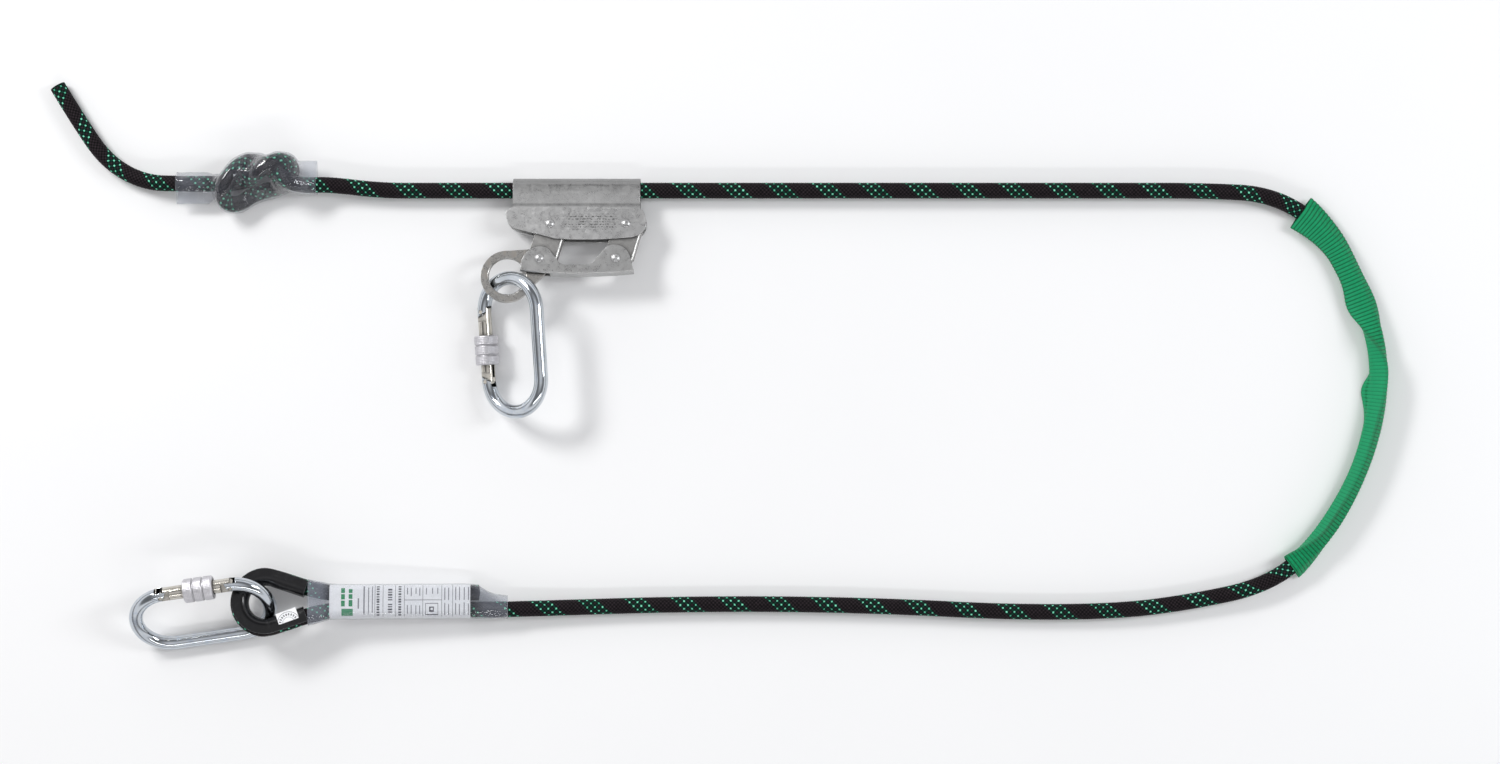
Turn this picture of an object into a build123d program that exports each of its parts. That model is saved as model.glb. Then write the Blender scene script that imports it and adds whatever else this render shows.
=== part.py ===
from build123d import *
import os
from math import acos, atan2, cos, degrees, hypot, pi, radians, sin, tan

# Rope grab on an adjustable work-positioning lanyard, laid flat. Millimetres.
# +Z is up, the floor is z = 0, and the origin is under the middle of the fittings
# (rope grab, sewn eye and the two carabiners). The rope runs along +X through the
# grab, turns back in a wide bend, and ends in the sewn eye.

# ---- rope ----
ROPE_D = 12.0
ROPE_R = ROPE_D / 2
REST_Z = ROPE_R + 0.05          # axis of rope lying on the floor

# ---- rope grab: channel, cheeks and links ----
GRAB_X = 140.8                  # middle of the channel at rest
GRAB_Y = 167.0                  # axis of the straight rope
GRAB_Z = 8.05                   # the channel under the rope holds it up
GRAB_TILT = 11.5                # the ring side is lifted by the carabiner
SHEET = 1.5
CHANNEL_L = 94.8
CHANNEL_R = 7.75                # outside, with the rope in the middle
ROOF_Y = 1.15                   # centre of the round roof above the rope axis
CREASE_Y = -12.0                # where the channel walls draw in to the cheeks
CREASE_DROP = 2.2
PAD_H = 0.35                    # raised strip under the crease, on the rear half
WALL_DRAW = 1.0                 # the channel walls draw in this much above the crease
CHEEK_IN = 4.5                  # half gap between the housing cheeks
CHEEK_OUT = CHEEK_IN + SHEET
LINK_OUT = CHEEK_IN - 0.3
LINK_IN = LINK_OUT - SHEET
PIVOT_A = (-19.7, -26.7)        # front upper rivet, from the rope axis
PIVOT_SPAN = 56.6
LINK_WEB_X = 13.2
LINK_ROUND = 2.6                # outside of the bend in a link
BAR_ROUND = 1.3                 # outside of the bends in the lower bar
LINK_DX = -7.5
LINK_DY = -26.4
PIN_R = 2.5
RUN_FIT = 0.1                   # running clearance of a pivot, radial
HEAD_R = 3.5
HEAD_H = 1.5
GROOVES = (-29.8, -19.3, 24.2, 32.4)

# ---- ring arm ----
ARM_T = 4.0
RING_C = (-51.2, -66.2)
RING_IN = 13.5
RING_OUT = 19.5
ARM_ROUND = 1.5

# ---- oval screw-lock carabiner ----
WIRE_R = 5.1
BOW_R = 24.75                   # centre line of a bow
LEG_HALF = 25.0                 # half the straight part
PIN_HALF = 26.0                 # a pin from the middle of the gate
TIP_HALF = 19.5                 # tip of a fork from the middle
FORK_GAP = 6.2
TONGUE_T = 5.6
FORK_ROOT = 30.2
SHOULDER = 18.9                 # the round part of the gate ends here
CARABINER_PIN_R = 1.7
SLEEVE_IN = 5.4
SLEEVE_OUT = 9.0
SLEEVE_L = 22.0
SLEEVE_AT = -2.5                # towards the hinge, unscrewed
NOTCH_HALF = 2.3

# ---- sewn eye: thimble, strands and covers ----
EYE_AT = (-90.0, -139.6, 20.5)
EYE_LEAN = 4.0                  # the eye end is higher than the rope's exit
EYE_ROLL = 12.0                 # the side away from the grab is higher
EYE_R = 19.9                    # rope axis round the thimble
STRAND_Y = 6.3                  # the two strands lie side by side
LEG_END_X = 43.0                # the legs join the strands here
EXIT_X = 179.4                  # the rope leaves the clear sleeve
SHORT_END_X = 158.0
THIMBLE_H = 7.2                 # half thickness
BORE_R = 12.2
FLARE = 6.3
FLANGE = 4.6                    # flange edge outside the rope axis
THIMBLE_END_X = 30.4
LABEL_X = (47.0, 152.5)

# ---- places of the two carabiners ----
GRAB_CARABINER_APEX = (90.5, 101.2)
GRAB_CARABINER_ROLL = 34.0
GRAB_CARABINER_TURN = 3.8
EYE_CARABINER_APEX = (-87.0, -141.0)
EYE_CARABINER_ROLL = 39.0
EYE_CARABINER_TURN = 8.3

# ---- rope routes (chosen by hand) ----
TAIL = [(-133.5, 172.0, 10.0), (-153.0, 172.0, 10.0), (-183.0, 173.0, 7.0),
        (-211.0, 188.5, REST_Z), (-232.0, 219.0, REST_Z), (-247.8, 245.2, REST_Z)]
MAIN = [(-68.2, 171.5, 10.0), (-44.0, 171.5, 10.0), (-6.0, GRAB_Y, GRAB_Z),
        (606.0, GRAB_Y, GRAB_Z), (662.0, 164.5, 7.7), (703.0, 136.0, 7.7),
        (722.0, 98.0, 7.7), (740.0, 52.0, 7.7), (742.0, 4.0, 7.7),
        (728.0, -50.0, 7.7), (698.0, -100.0, 7.7), (659.0, -129.0, 7.7),
        (600.0, -140.5, REST_Z), (545.0, -147.5, REST_Z), (466.0, -148.2, REST_Z),
        (378.0, -143.8, REST_Z), (292.0, -141.9, REST_Z), (208.0, -142.4, REST_Z),
        (136.0, -144.6, 6.2)]
WEAR_FIRST, WEAR_LAST = 4, 11   # the wear sleeve covers the route between these points
WEAR_W = 25.0
WEAR_H = 15.2
WEAR_WALL = 1.2

# ---- stop knot and the clear tube over it: x, y, z, half width, half height ----
KNOT_SECTIONS = [(-133.5, 172.0, 10.0, 10.0, 9.0), (-122.0, 174.0, 14.0, 21.5, 13.0),
                 (-100.0, 174.5, 14.2, 22.2, 13.6), (-80.0, 174.0, 14.0, 20.0, 13.0),
                 (-68.2, 171.5, 10.0, 12.0, 9.0)]
TUBE_ENDS = [(-158.0, 172.0, 9.6, 11.2, 8.6), (-52.5, 170.6, 9.6, 12.6, 8.6)]
TUBE_WALL = 0.6

grab_frame = Pos(GRAB_X, GRAB_Y, GRAB_Z) * Rot(-GRAB_TILT, 0, 0)
eye_frame = Pos(*EYE_AT) * Rot(0, EYE_LEAN, 0) * Rot(-EYE_ROLL, 0, 0)
PIVOT_B = (PIVOT_A[0] + PIVOT_SPAN, PIVOT_A[1])
PIVOT_C = (PIVOT_A[0] + LINK_DX, PIVOT_A[1] + LINK_DY)
PIVOT_D = (PIVOT_B[0] + LINK_DX, PIVOT_B[1] + LINK_DY)
LINK_L = hypot(LINK_DX, LINK_DY)
LINK_LEAN = degrees(atan2(LINK_DX, -LINK_DY))


def carabiner_frames():
    """Where the two carabiners lie: origin in the middle, +Y to the nose, gate at -X."""
    zg = SLEEVE_OUT + 0.05 + BOW_R * sin(radians(GRAB_CARABINER_ROLL))
    ax, ay = GRAB_CARABINER_APEX
    turn = Rot(0, 0, GRAB_CARABINER_TURN) * Rot(0, -GRAB_CARABINER_ROLL, 0)
    at_grab = Pos(ax, ay, zg) * turn * Pos(0, -(LEG_HALF + BOW_R), 0)
    ze = WIRE_R + 0.05 + BOW_R * sin(radians(EYE_CARABINER_ROLL))
    ex, ey = EYE_CARABINER_APEX
    turn = Rot(0, 0, 90 + EYE_CARABINER_TURN) * Rot(0, 180 - EYE_CARABINER_ROLL, 0)
    at_eye = Pos(ex, ey, ze) * turn * Pos(0, LEG_HALF + BOW_R, 0)
    return at_grab, at_eye


def plate(face, z0, z1):
    """A flat plate between two heights."""
    return Pos(0, 0, z0) * extrude(face, z1 - z0)


def both_sides(face, z0, z1):
    """The same plate above and below the middle plane."""
    return plate(face, z0, z1) + plate(face, -z1, -z0)


def outline(*points):
    return make_face(Polyline(*points, close=True))


def drill(x, y, r, half=20):
    return Pos(x, y, 0) * Cylinder(r, 2 * half)


# ------------------------------------------------------------------ rope grab
def channel_section(grow):
    """Outline of the channel in its cross plane: X is the depth, Y is up from the rope."""
    w = CHANNEL_R + grow
    c = CHEEK_OUT + grow
    low = CREASE_Y - CREASE_DROP
    with BuildSketch() as s:
        with BuildLine():
            TangentArc((w, ROOF_Y), (w - WALL_DRAW, CREASE_Y), tangent=(0, -1))
            Polyline((w - WALL_DRAW, CREASE_Y), (c, low), (c, low - 4), (-c, low - 4),
                     (-c, low), (WALL_DRAW - w, CREASE_Y))
            TangentArc((-w, ROOF_Y), (WALL_DRAW - w, CREASE_Y), tangent=(0, -1))
            RadiusArc((-w, ROOF_Y), (w, ROOF_Y), w)
        make_face()
    return s.sketch


def housing():
    """Bent sheet: a round-backed channel for the rope and two flat cheeks."""
    shell = channel_section(0) - channel_section(-SHEET)
    inner_low = Pos(0, CREASE_Y - CREASE_DROP - 4) * Rectangle(2 * CHEEK_IN, 8)
    shell = shell - inner_low
    across = Plane(origin=(-CHANNEL_L / 2, 0, 0), x_dir=(0, 0, -1), z_dir=(1, 0, 0))
    channel = extrude(across * shell, CHANNEL_L)
    top = CREASE_Y - CREASE_DROP
    with BuildSketch() as s:
        with BuildLine():
            Polyline((47.0, top), (-47.0, top), (-51.8, -16.5))
            Spline((-51.8, -16.5), (-52.5, -20.0), (-49.3, -27.2), (-44.8, -30.4))
            Polyline((-44.8, -30.4), (-16.3, -38.2))
            ThreePointArc((-16.3, -38.2), (12.0, -38.9), (40.7, -37.4))
            Spline((40.7, -37.4), (47.4, -34.6), (51.8, -29.0), (51.4, -21.0), (47.0, top))
        make_face()
    body = channel + both_sides(s.sketch, CHEEK_IN, CHEEK_OUT)
    pad = outline((8.6, top + 0.3), (46.6, top + 0.3), (47.6, top - 1.8), (10.0, top - 1.8),
                  (8.6, top - 3.2))
    body = body + both_sides(pad, CHEEK_OUT - 0.2, CHEEK_OUT + PAD_H)
    for x, y in (PIVOT_A, PIVOT_B):
        body = body - drill(x, y, PIN_R)
    groove_r = 5.0
    for x in GROOVES:
        dip = Pos(x, ROOF_Y + CHANNEL_R + groove_r - 0.7, 0) * Cylinder(groove_r, 40)
        body = body - dip
    return body


def bent_channel():
    """A sheet bent to a U, open at -X, with round bends along the web at +X."""
    outer = Pos(LINK_WEB_X - 20, 0) * RectangleRounded(40, 2 * LINK_OUT, LINK_ROUND)
    inner = Pos(LINK_WEB_X - SHEET - 20, 0) * RectangleRounded(40, 2 * LINK_IN, LINK_ROUND - SHEET)
    across = Plane(origin=(0, -60, 0), x_dir=(1, 0, 0), z_dir=(0, 1, 0))
    return extrude(across * (outer - inner), 120)


def link():
    """A link from A (origin) to C (straight down here): two cheeks and a side web."""
    with BuildSketch() as s:
        with BuildLine():
            Polyline((-8.6, 2.0), (-8.6, -LINK_L))
            ThreePointArc((-8.6, -LINK_L), (0, -LINK_L - 8.6), (7.4, -LINK_L - 4.4))
            Polyline((7.4, -LINK_L - 4.4), (LINK_WEB_X, -24.0), (LINK_WEB_X, 4.0), (9.0, 8.6))
            ThreePointArc((9.0, 8.6), (-2.0, 9.6), (-8.6, 2.0))
        make_face()
    body = extrude(s.sketch, LINK_OUT, both=True) & bent_channel()
    for y in (0, -LINK_L):
        body = body - drill(0, y, PIN_R + RUN_FIT)
    return body


def cam():
    """Toothed cam between the cheeks of a link; it grips when the link swings back."""
    polar = ((11.0, 25), (16.5, 55), (18.4, 75), (19.5, 90), (20.3, 99), (19.6, 111), (11.5, 140))
    points = [(r * cos(radians(a)), r * sin(radians(a))) for r, a in polar]
    with BuildSketch() as s:
        with BuildLine():
            Polyline(*points, (-7.0, -2.0), (7.0, -2.0), close=True)
        make_face()
    body = extrude(s.sketch, LINK_IN - 0.1, both=True)
    for k in range(6):
        a = radians(70 + 8 * k)
        r = 19.0 + 0.3 * k
        body = body - Pos(r * cos(a), r * sin(a), 0) * Cylinder(0.7, 20)
    return body - drill(0, 0, PIN_R + RUN_FIT)


def lower_bar():
    """Bent sheet bar under the links: two cheeks with a lobe at each end, and a web."""
    with BuildSketch() as s:
        with BuildLine():
            Polyline((-41.1, -63.1), (-40.5, -56.2))
            Spline((-40.5, -56.2), (-38.2, -50.8), (-33.0, -46.0), (-26.1, -44.4), (-19.6, -47.0))
            Polyline((-19.6, -47.0), (-12.2, -56.8), (-8.1, -58.2), (6.2, -58.2), (12.2, -57.0))
            Polyline((12.2, -57.0), (21.6, -45.4))
            Spline((21.6, -45.4), (29.4, -43.0), (37.4, -47.0), (41.2, -55.5), (42.9, -63.1))
            ThreePointArc((42.9, -63.1), (0.9, -65.2), (-41.1, -63.1))
        make_face()
    body = both_sides(s.sketch, CHEEK_IN, CHEEK_OUT)
    with BuildSketch() as w:
        with BuildLine():
            ThreePointArc((42.9, -63.1), (0.9, -65.2), (-41.1, -63.1))
            Line((-41.1, -63.1), (-41.1, -63.1 + SHEET))
            ThreePointArc((-41.1, -63.1 + SHEET), (0.9, -65.2 + SHEET), (42.9, -63.1 + SHEET))
            Line((42.9, -63.1 + SHEET), (42.9, -63.1))
        make_face()
    web = extrude(w.sketch, CHEEK_OUT, both=True)
    web = web - Pos(-31.2, -64.0, 0) * Box(24.0, 8.0, 2 * CHEEK_IN)
    body = body + web
    for x, y in (PIVOT_C, PIVOT_D):
        body = body - drill(x, y, PIN_R)
    bends = body.edges().filter_by(GeomType.CIRCLE).filter_by(
        lambda e: e.radius > 100 and abs(abs(e.center().Z) - CHEEK_OUT) < 0.01)
    return fillet(bends.filter_by(lambda e: e.length > 10), BAR_ROUND)


def ring_arm():
    """Flat plate: a hub on the front lower rivet and a ring for the carabiner."""
    cx, cy = PIVOT_C
    rx, ry = RING_C
    hub = Pos(cx, cy) * Circle(9.4)
    bridge = make_face(Polyline((rx - 4.1, ry + 19.0), (cx - 5.6, cy + 7.6), (cx + 7.4, cy - 5.4),
                                (cx + 3.6, cy - 12.0), (cx - 4.6, cy - 20.0),
                                (rx + 17.0, ry - 8.4), (rx + 2.0, ry - 12.0), close=True))
    ring = Pos(rx, ry) * Circle(RING_OUT)
    face = hub + bridge + ring - Pos(rx, ry) * Circle(RING_IN)
    body = extrude(face, ARM_T / 2, both=True)
    rim = body.edges().filter_by(GeomType.CIRCLE).filter_by(
        lambda e: abs(e.radius - RING_IN) < 0.01)
    body = fillet(rim, ARM_ROUND)
    return body - drill(cx, cy, PIN_R + RUN_FIT)


def rivet(x, y):
    """Shank through both cheeks with a domed head on each side."""
    shank = Cylinder(PIN_R, 2 * CHEEK_OUT)
    r = (HEAD_R ** 2 + HEAD_H ** 2) / (2 * HEAD_H)
    dome = Pos(0, 0, CHEEK_OUT + HEAD_H - r) * Sphere(r)
    keep = Pos(0, 0, CHEEK_OUT + HEAD_H / 2) * Box(20, 20, HEAD_H)
    head = dome & keep
    return Pos(x, y, 0) * (shank + head + mirror(head, Plane.XY))


def cam_spring():
    """Torsion spring round the rear upper rivet, between the cheeks of the rear link."""
    wire_r = 0.3
    turns = Helix(pitch=0.72, height=1.3, radius=3.7)
    start = turns @ 0
    along = turns % 0
    coil = sweep(Plane(origin=start, z_dir=along) * Circle(wire_r), path=turns)
    return Pos(PIVOT_B[0], PIVOT_B[1], 0.95) * coil


def make_grab():
    parts = {"grab_housing": housing(), "lower_bar": lower_bar(), "ring_arm": ring_arm()}
    lean = Rot(0, 0, LINK_LEAN)
    for name, (x, y) in (("front", PIVOT_A), ("rear", PIVOT_B)):
        parts[name + "_link"] = Pos(x, y, 0) * lean * link()
        parts[name + "_cam"] = Pos(x, y, 0) * cam()
    thin = Pos(PIVOT_B[0], PIVOT_B[1] + 8.5, LINK_IN - 1.0) * Box(60, 60, 2.0)
    parts["rear_cam"] = parts["rear_cam"] - thin
    parts["cam_spring"] = cam_spring()
    pivots = {"front_upper_rivet": PIVOT_A, "rear_upper_rivet": PIVOT_B,
              "front_lower_rivet": PIVOT_C, "rear_lower_rivet": PIVOT_D}
    for name, (x, y) in pivots.items():
        parts[name] = rivet(x, y)
    return {name: grab_frame * shape for name, shape in parts.items()}


# ----------------------------------------------------------------- carabiners
def carabiner_body():
    """Oval bent from round bar, with a forked end at each side of the gate."""
    x, y = BOW_R, LEG_HALF
    with BuildLine() as path:
        Line((-x, TIP_HALF), (-x, y))
        ThreePointArc((-x, y), (0, y + x), (x, y))
        Line((x, y), (x, -y))
        ThreePointArc((x, -y), (0, -y - x), (-x, -y))
        Line((-x, -y), (-x, -TIP_HALF))
    section = Plane(origin=(-x, TIP_HALF, 0), z_dir=(0, 1, 0)) * Circle(WIRE_R)
    body = sweep(section, path=path.wire())
    slot_l = FORK_ROOT - TIP_HALF + 2
    skew = outline((0, -1), (14, -8.5), (14, 12), (0, 12))
    for side in (1, -1):
        slot = Box(16, slot_l, FORK_GAP)
        body = body - Pos(-x, side * (FORK_ROOT - slot_l / 2), 0) * slot
        body = body - drill(-x, side * PIN_HALF, CARABINER_PIN_R)
        cut = Pos(-x - WIRE_R, TIP_HALF + 0.8, 0) * mirror(plate(skew, -9, 9), Plane.XZ)
        body = body - (cut if side == 1 else mirror(cut, Plane.XZ))
    return body


def carabiner_gate():
    """Round bar with a flat tongue at each end: hinge eye below, open notch above."""
    x = BOW_R
    bar = Rot(90, 0, 0) * Cylinder(WIRE_R, 2 * SHOULDER)
    end_r = 3.6
    long_bar = Rot(90, 0, 0) * Cylinder(WIRE_R, 2 * (PIN_HALF + end_r))
    flat = Box(30, 90, TONGUE_T)
    top_round = Pos(0, PIN_HALF, 0) * Cylinder(WIRE_R + 0.2, 30)
    low_round = Pos(0, -PIN_HALF, 0) * Cylinder(end_r, 30)
    middle = Box(30, 2 * PIN_HALF, 30)
    tongue = (long_bar & flat) & (middle + top_round + low_round)
    gate = bar + tongue
    gate = gate - drill(0, -PIN_HALF, CARABINER_PIN_R + RUN_FIT)
    gate = gate - drill(0, PIN_HALF, NOTCH_HALF)
    gate = gate - Pos(-5, PIN_HALF, 0) * Box(10, 2 * NOTCH_HALF, 30)
    bore = Pos(0, -SHOULDER + 3, 0) * (Rot(90, 0, 0) * Cylinder(2.1, 14))
    window = Pos(4.5, -SHOULDER + 3, 0) * Box(9, 14, 2.6)
    return Pos(-x, 0, 0) * (gate - bore - window)


def carabiner_pin(side):
    return Pos(-BOW_R, side * PIN_HALF, 0) * Cylinder(CARABINER_PIN_R, 2 * WIRE_R - 0.8)


def screw_sleeve():
    """Knurled sleeve on the gate, with two turned grooves."""
    body = Cylinder(SLEEVE_OUT, SLEEVE_L) - Cylinder(SLEEVE_IN, SLEEVE_L)
    rims = body.edges().filter_by(GeomType.CIRCLE)
    body = chamfer(rims.filter_by(lambda e: e.radius > SLEEVE_IN + 1), 0.8)
    for z in (-SLEEVE_L / 6, SLEEVE_L / 6):
        groove = Cylinder(SLEEVE_OUT + 1, 1.2) - Cylinder(SLEEVE_OUT - 0.8, 1.2)
        body = body - Pos(0, 0, z) * groove
    return Pos(-BOW_R, SLEEVE_AT, 0) * Rot(90, 0, 0) * body


def gate_spring():
    """Small coil in the bore of the gate that pushes the plunger to the hinge fork."""
    turns = Helix(pitch=1.2, height=9.0, radius=1.5)
    start = turns @ 0
    coil = sweep(Plane(origin=start, z_dir=turns % 0) * Circle(0.3), path=turns)
    return Pos(-BOW_R, -SHOULDER + 9.3, 0) * Rot(90, 0, 0) * coil


def make_carabiner(prefix, frame):
    parts = {"body": carabiner_body(), "gate": carabiner_gate(), "hinge_pin": carabiner_pin(-1),
             "latch_pin": carabiner_pin(1), "screw_sleeve": screw_sleeve(),
             "gate_spring": gate_spring()}
    return {prefix + "_" + name: frame * shape for name, shape in parts.items()}


# ------------------------------------------------------------------- sewn eye
def eye_path(first_x, last_x):
    """Rope axis in the plane of the eye: strand, leg, round the thimble, leg, strand."""
    d = hypot(LEG_END_X, STRAND_Y)
    touch = -atan2(STRAND_Y, LEG_END_X) - acos(EYE_R / d)
    tx, ty = EYE_R * cos(touch), EYE_R * sin(touch)
    lean = atan2(-STRAND_Y - ty, LEG_END_X - tx)
    cut = 35.0 * tan(lean / 2)
    near = (LEG_END_X + cut, -STRAND_Y)
    far = (LEG_END_X - cut * cos(lean), -STRAND_Y - cut * sin(lean))
    edges = []
    if first_x > near[0]:
        edges.append(Line((first_x, -STRAND_Y), near))
        edges.append(TangentArc(near, far, tangent=(-1, 0)))
        edges.append(Line(far, (tx, ty)))
    else:
        edges.append(Line((first_x, -STRAND_Y - (LEG_END_X - first_x) * tan(lean)), (tx, ty)))
    edges.append(ThreePointArc((tx, ty), (-EYE_R, 0), (tx, -ty)))
    if last_x > near[0]:
        edges.append(Line((tx, -ty), (far[0], -far[1])))
        edges.append(TangentArc((far[0], -far[1]), (near[0], -near[1]),
                                tangent=(cos(lean), -sin(lean))))
        edges.append(Line((near[0], -near[1]), (last_x, STRAND_Y)))
    else:
        edges.append(Line((tx, -ty), (last_x, STRAND_Y + (LEG_END_X - last_x) * tan(lean))))
    return Wire(edges)


def rope_eye():
    path = eye_path(EXIT_X - 0.15, SHORT_END_X)
    start = Plane(origin=path @ 0, z_dir=path % 0)
    return sweep(start * Circle(ROPE_R), path=path)


def thimble():
    """Grooved plastic loop under the rope, with a flared bore for the carabiner."""
    path = eye_path(THIMBLE_END_X, THIMBLE_END_X)
    h = THIMBLE_H
    inner = ROPE_R + 0.25
    bore = BORE_R - EYE_R
    with BuildSketch() as s:
        with BuildLine():
            EllipticalCenterArc((bore + FLARE, 0), FLARE, h, start_angle=90, arc_size=180)
            Polyline((bore + FLARE, -h), (FLANGE, -h), (FLANGE, -inner), (0, -inner))
            ThreePointArc((0, -inner), (-inner, 0), (0, inner))
            Polyline((0, inner), (FLANGE, inner), (FLANGE, h), (bore + FLARE, h))
        make_face()
    along = path % 0
    outward = Vector(along.Y, -along.X, 0) * -1
    start = Plane(origin=path @ 0, x_dir=outward, z_dir=along)
    return sweep(start * s.sketch, path=path)


def sleeve_loft(sections):
    faces = [Plane(origin=(x, y, 0), x_dir=(0, 1, 0), z_dir=(1, 0, 0)) * SlotOverall(w, h)
             for x, y, w, h in sections]
    return loft(faces, ruled=True)


def clear_sleeve():
    """Shrunk clear sleeve over the strands: wide over the thimble, slim at the rope."""
    full = 2 * STRAND_Y + 14.0
    outer = [(31.5, 0, 34.4, 16.2), (37.0, 0, 32.0, 16.0), (50.0, 0, full, 14.0),
             (SHORT_END_X + 1, 0, full, 14.0), (170.0, -3.6, 18.6, 13.6),
             (180.0, -4.4, 17.4, 13.5)]
    inner = [(31.5, 0, 33.4, 15.2), (37.0, 0, 31.0, 15.0), (50.0, 0, full - 1.0, 13.0),
             (SHORT_END_X + 1, 0, full - 1.0, 13.0), (170.0, -3.6, 17.8, 12.7),
             (180.0, -4.4, 16.6, 12.6)]
    return sleeve_loft(outer) - sleeve_loft(inner)


def stadium_sleeve(x0, x1, half_out, half_in):
    across = Plane(origin=(x0, 0, 0), x_dir=(0, 1, 0), z_dir=(1, 0, 0))
    ring = SlotOverall(2 * (STRAND_Y + half_out), 2 * half_out)
    ring = ring - SlotOverall(2 * (STRAND_Y + half_in), 2 * half_in)
    return extrude(across * ring, x1 - x0)


def eye_stitching():
    """Sewn seam in the valley between the two strands, above and below."""
    x0, x1 = 54.0, 146.0
    seam = Pos((x0 + x1) / 2, 0, 4.5) * Box(x1 - x0, 1.6, 2.4)
    return seam + mirror(seam, Plane.XY)


def inspection_sticker():
    return Pos(16.8, -11.4, THIMBLE_H + 0.2) * Rot(0, 0, 20) * Box(15.5, 8.4, 0.25)


def make_eye():
    parts = {"rope_eye": rope_eye(), "thimble": thimble(), "clear_sleeve": clear_sleeve(),
             "label": stadium_sleeve(*LABEL_X, 6.4, 6.15), "eye_stitching": eye_stitching(),
             "inspection_sticker": inspection_sticker()}
    return {name: eye_frame * shape for name, shape in parts.items()}


# ----------------------------------------------------------------------- rope
def arc_radii(points):
    """As large as the runs allow: 0.45 of the shorter run over the tangent of half the turn."""
    radii = []
    for a, b, c in zip(points, points[1:], points[2:]):
        before = Vector(*b) - Vector(*a)
        after = Vector(*c) - Vector(*b)
        turn = radians(before.get_angle(after))
        radii.append(0.45 * min(before.length, after.length) / tan(turn / 2))
    return radii


def route(points, name):
    radii = arc_radii(points)
    path = FilletPolyline(*points, radius=radii)
    print(name, "length %.1f" % path.length, "radii", [round(r) for r in radii])
    return path


def tube(path, radius, name):
    start = Plane(origin=path @ 0, z_dir=path % 0)
    solid = sweep(start * Circle(radius), path=path)
    print(name, "volume / (section x length): %.4f" % (
        solid.volume / (pi * radius ** 2 * path.length)))
    return solid


def wear_sleeve():
    """Tubular webbing over the bend, a flat oval hollow."""
    first = [(a + b) / 2 for a, b in zip(MAIN[WEAR_FIRST], MAIN[WEAR_FIRST + 1])]
    last = [(a + b) / 2 for a, b in zip(MAIN[WEAR_LAST - 1], MAIN[WEAR_LAST])]
    inner = MAIN[WEAR_FIRST + 1:WEAR_LAST]
    radii = arc_radii(MAIN)[WEAR_FIRST:WEAR_LAST - 1]
    path = FilletPolyline(tuple(first), *inner, tuple(last), radius=radii)
    print("wear_sleeve length %.1f" % path.length)
    along = path % 0
    start = Plane(origin=path @ 0, x_dir=along.cross(Vector(0, 0, 1)), z_dir=along)
    ring = SlotOverall(WEAR_W, WEAR_H) - SlotOverall(WEAR_W - 2 * WEAR_WALL, WEAR_H - 2 * WEAR_WALL)
    return sweep(start * ring, path=path)


def knot_loft(sections, shrink):
    faces = [Plane(origin=(x, y, z), x_dir=(0, 1, 0), z_dir=(1, 0, 0))
             * Ellipse(w - shrink, h - shrink) for x, y, z, w, h in sections]
    return loft(faces, ruled=True)


def knot_tube():
    sections = [TUBE_ENDS[0]] + KNOT_SECTIONS + [TUBE_ENDS[1]]
    return knot_loft(sections, 0) - knot_loft(sections, TUBE_WALL)


def make_rope():
    exit_point = eye_frame * Pos(EXIT_X, -STRAND_Y, 0)
    main = MAIN + [tuple(exit_point.position)]
    return {"rope_tail": tube(route(TAIL, "rope_tail"), ROPE_R, "rope_tail"),
            "rope_main": tube(route(main, "rope_main"), ROPE_R, "rope_main"),
            "stop_knot": knot_loft(KNOT_SECTIONS, 0.9), "knot_tube": knot_tube(),
            "wear_sleeve": wear_sleeve()}


def build():
    at_grab, at_eye = carabiner_frames()
    parts = make_grab()
    parts.update(make_carabiner("grab_carabiner", at_grab))
    parts.update(make_carabiner("eye_carabiner", at_eye))
    parts.update(make_eye())
    parts.update(make_rope())
    return parts


def main():
    os.makedirs("parts", exist_ok=True)
    for name, shape in build().items():
        export_step(shape, "parts/" + name + ".step")
        print("wrote", name)


main()
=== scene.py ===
from math import acos, atan2, cos, degrees, hypot, pi, radians, sin

import bpy
import numpy as np
from mathutils import Matrix


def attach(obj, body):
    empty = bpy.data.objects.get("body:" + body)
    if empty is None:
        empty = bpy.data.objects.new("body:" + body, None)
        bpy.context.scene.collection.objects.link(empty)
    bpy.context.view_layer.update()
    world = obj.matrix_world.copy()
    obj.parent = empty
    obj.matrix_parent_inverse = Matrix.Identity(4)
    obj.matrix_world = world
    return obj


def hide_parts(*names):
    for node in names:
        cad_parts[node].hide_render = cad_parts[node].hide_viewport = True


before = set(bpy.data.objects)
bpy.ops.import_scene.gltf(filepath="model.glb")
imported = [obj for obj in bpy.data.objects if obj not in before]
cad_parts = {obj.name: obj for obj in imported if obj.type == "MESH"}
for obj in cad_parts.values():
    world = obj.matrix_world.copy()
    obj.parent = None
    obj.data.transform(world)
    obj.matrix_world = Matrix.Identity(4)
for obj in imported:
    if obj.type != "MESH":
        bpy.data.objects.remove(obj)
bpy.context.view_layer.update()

# Rope grab on a work-positioning lanyard. Given numbers are in millimetres, as in
# the CAD model, and go into Blender times MM.
MM = 0.001
scene = bpy.context.scene

# ---------------------------------------------------------------- camera, light
CAMERA_AT = (0.270, 0.024, 2.2)
CAMERA_LENS = 70.4
# brightness of the surroundings by height, from the horizon up
WORLD_STOPS = [(0.0, 0.22), (0.10, 0.32), (0.22, 1.0), (0.46, 1.0), (0.59, 0.24), (0.82, 0.20),
               (0.92, 0.48), (1.0, 0.85)]
WORLD_STRENGTH = 0.95


def add_camera():
    data = bpy.data.cameras.new("camera")
    data.lens = CAMERA_LENS
    data.sensor_width = 36.0
    data.clip_start = 0.05
    data.clip_end = 20.0
    cam = bpy.data.objects.new("camera", data)
    cam.location = CAMERA_AT
    scene.collection.objects.link(cam)
    scene.camera = cam


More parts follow.
